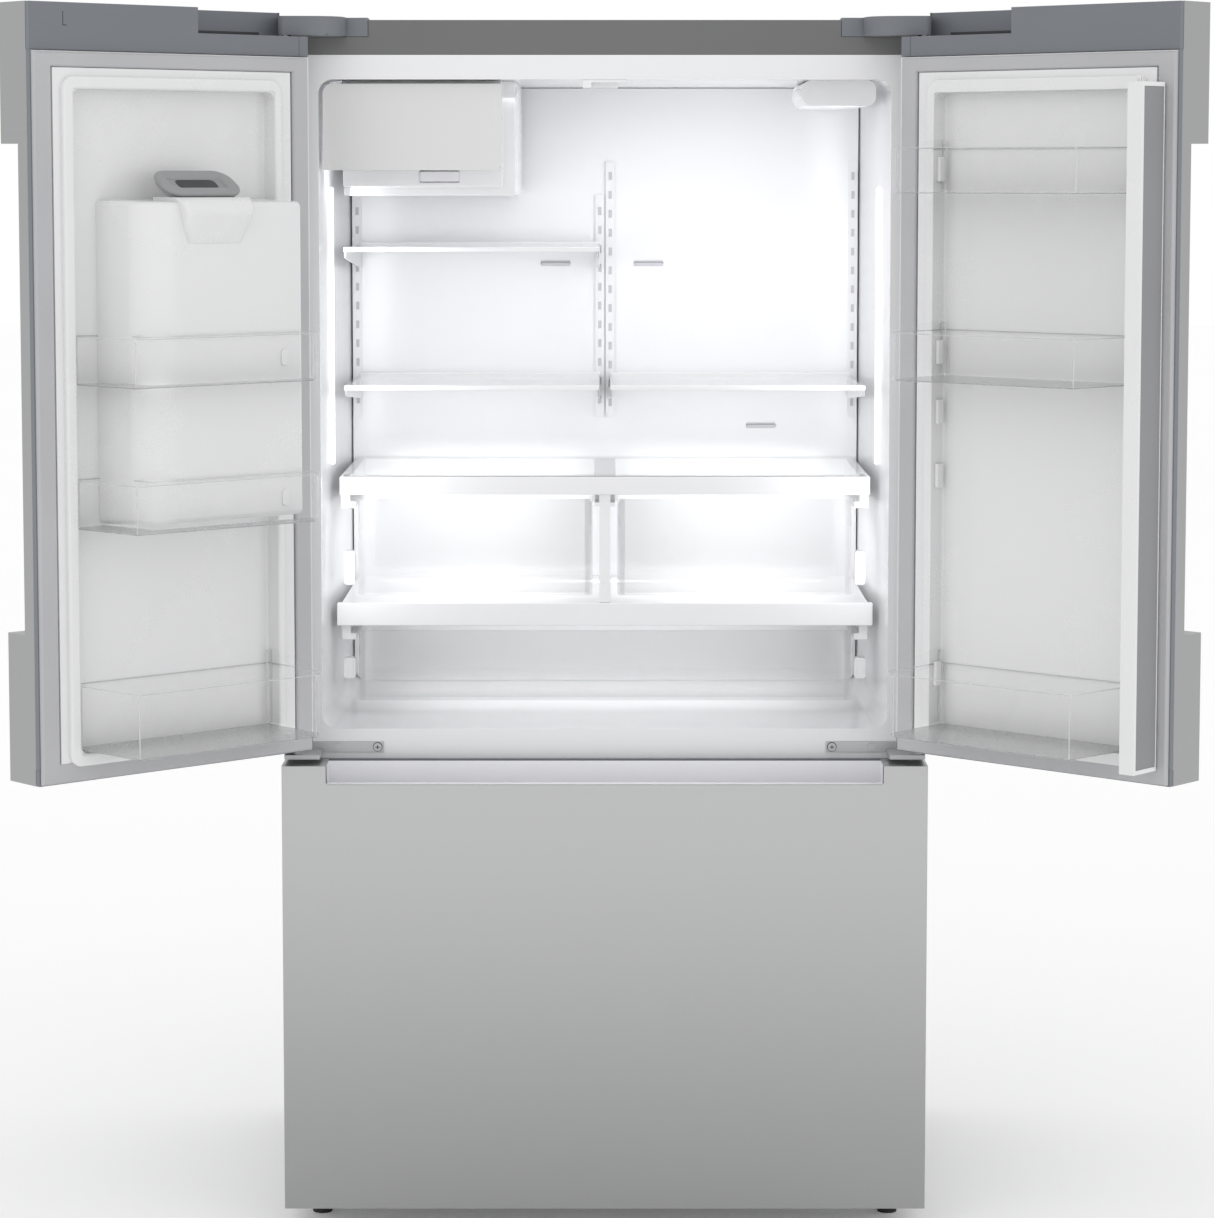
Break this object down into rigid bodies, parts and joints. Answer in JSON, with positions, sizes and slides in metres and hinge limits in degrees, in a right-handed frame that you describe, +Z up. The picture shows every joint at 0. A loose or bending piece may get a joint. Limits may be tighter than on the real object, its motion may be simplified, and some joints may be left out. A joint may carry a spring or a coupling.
{
  "type": "french door refrigerator",
  "caption": "French door refrigerator with its two doors standing open over a pull-out freezer drawer, with shelves, crispers, door bins, an ice box and a flip mullion.",
  "frame": {"origin": "on the floor, under the centre of the bounding box with both doors open", "axes": "+Z up, +X to the right seen from the front, +Y from the front to the back"},
  "size_m": [1.5818, 1.0369, 1.7168],
  "materials": {
    "stainless": "brushed",
    "case_paint": "satin paint",
    "cap_grey": "moulded",
    "white_liner": "gloss",
    "foam": "foam",
    "grey_plastic": "satin",
    "gasket": "soft",
    "clear_plastic": "clear",
    "shelf_glass": "clear",
    "white_trim": "satin",
    "zinc_steel": "zinc plated",
    "aluminium": "fins",
    "black_metal": "gloss black",
    "black_rubber": "soft"
  },
  "bodies": {
    "cabinet": {"outer_case": "case_paint", "back_panel": "case_paint", "insulation": "foam", "fresh_food_liner": "white_liner", "freezer_liner": "white_liner", "top_strip": "case_paint", "hinge_covers": "cap_grey", "top_hinges": "zinc_steel", "lower_hinges": "zinc_steel", "rear_duct": "white_liner", "shelf_tracks": "white_trim", "light_strips": "white_trim", "filter_housing": "white_liner", "mullion_guide": "white_liner", "ice_box": "white_liner", "shelf_frames": "white_trim", "glass_panes": "shelf_glass", "crisper_frame": "white_trim", "pan_lid": "white_trim", "base_tray": "case_paint", "compressor": "black_metal", "condenser": "aluminium", "evaporator": "aluminium", "evaporator_cover": "white_liner", "cord_gland": "grey_plastic", "drawer_rails": "zinc_steel"},
    "left_door": {"left_door_skin": "stainless", "left_door_liner": "white_liner", "left_door_caps": "cap_grey", "left_door_gasket": "gasket", "left_door_bins": "clear_plastic", "dispenser_housing": "white_liner", "chute_gasket": "gasket", "dispenser_niche": "grey_plastic"},
    "paddle": {"dispenser_paddle": "grey_plastic"},
    "right_door": {"right_door_skin": "stainless", "right_door_liner": "white_liner", "right_door_caps": "cap_grey", "right_door_gasket": "gasket", "right_door_bins": "clear_plastic"},
    "mullion": {"mullion_bar": "white_liner", "mullion_plate": "grey_plastic"},
    "freezer_drawer": {"freezer_skin": "stainless", "freezer_inner_panel": "white_liner", "freezer_gasket": "gasket", "grip_channel": "grey_plastic", "lower_basket": "white_trim", "drawer_slides": "zinc_steel"},
    "upper_basket": {"upper_basket": "white_trim"},
    "left_crisper": {"left_crisper": "clear_plastic"},
    "right_crisper": {"right_crisper": "clear_plastic"},
    "wide_pan": {"wide_pan": "clear_plastic"},
    "ice_bucket": {"ice_bucket": "clear_plastic", "ice_bucket_cover": "white_liner"},
    "ice_auger": {"ice_auger": "zinc_steel"},
    "condenser_fan": {"condenser_fan": "grey_plastic"},
    "evaporator_fan": {"evaporator_fan": "grey_plastic"},
    "left_foot": {"left_foot": "black_rubber"},
    "right_foot": {"right_foot": "black_rubber"},
    "rear_rollers": {"rear_rollers": "grey_plastic"}
  },
  "joints": [
    {"name": "left_door_hinge", "type": "hinge", "parent": "cabinet", "child": "left_door", "pos_m": [-0.4425, -0.14651, 1.2], "axis": [0, 0, -1], "range_deg": [-138, 0]},
    {"name": "right_door_hinge", "type": "hinge", "parent": "cabinet", "child": "right_door", "pos_m": [0.4425, -0.14651, 1.2], "axis": [0, 0, 1], "range_deg": [-138, 0]},
    {"name": "mullion_flip", "type": "hinge", "parent": "right_door", "child": "mullion", "pos_m": [0.71655, -0.47124, 1.162], "axis": [0, 0, -1], "range_deg": [-90, 0]},
    {"name": "dispenser_paddle_swing", "type": "hinge", "parent": "left_door", "child": "paddle", "pos_m": [-0.57165, -0.32065, 1.338], "axis": [-0.7431, -0.6691, 0], "range_deg": [0, 12], "stiffness_Nm_per_rad": 0.3},
    {"name": "freezer_drawer_slide", "type": "slide", "parent": "cabinet", "child": "freezer_drawer", "axis": [0, -1, 0], "range_m": [0, 0.3]},
    {"name": "upper_basket_slide", "type": "slide", "parent": "cabinet", "child": "upper_basket", "axis": [0, -1, 0], "range_m": [0, 0.15]},
    {"name": "left_crisper_slide", "type": "slide", "parent": "cabinet", "child": "left_crisper", "axis": [0, -1, 0], "range_m": [0, 0.28]},
    {"name": "right_crisper_slide", "type": "slide", "parent": "cabinet", "child": "right_crisper", "axis": [0, -1, 0], "range_m": [0, 0.28]},
    {"name": "wide_pan_slide", "type": "slide", "parent": "cabinet", "child": "wide_pan", "axis": [0, -1, 0], "range_m": [0, 0.28]},
    {"name": "ice_bucket_slide", "type": "slide", "parent": "cabinet", "child": "ice_bucket", "axis": [0, -1, 0], "range_m": [0, 0.3]},
    {"name": "ice_auger_turn", "type": "hinge", "parent": "ice_bucket", "child": "ice_auger", "pos_m": [-0.25913, 0.12049, 1.545], "axis": [0, 1, 0], "continuous": true},
    {"name": "condenser_fan_turn", "type": "hinge", "parent": "cabinet", "child": "condenser_fan", "pos_m": [0.06, 0.41549, 0.138], "axis": [1, 0, 0], "continuous": true},
    {"name": "evaporator_fan_turn", "type": "hinge", "parent": "cabinet", "child": "evaporator_fan", "pos_m": [0, 0.27549, 0.44], "axis": [0, 1, 0], "continuous": true},
    {"name": "left_foot_turn", "type": "hinge", "parent": "cabinet", "child": "left_foot", "pos_m": [-0.408, -0.06751, 0.02], "axis": [0, 0, 1], "continuous": true},
    {"name": "right_foot_turn", "type": "hinge", "parent": "cabinet", "child": "right_foot", "pos_m": [0.408, -0.06751, 0.02], "axis": [0, 0, 1], "continuous": true},
    {"name": "rear_rollers_turn", "type": "hinge", "parent": "cabinet", "child": "rear_rollers", "pos_m": [0, 0.46049, 0.02], "axis": [1, 0, 0], "continuous": true}
  ],
  "couplings": [
    {"joint": "upper_basket_slide", "follows": "freezer_drawer_slide", "ratio": 0.5}
  ]
}
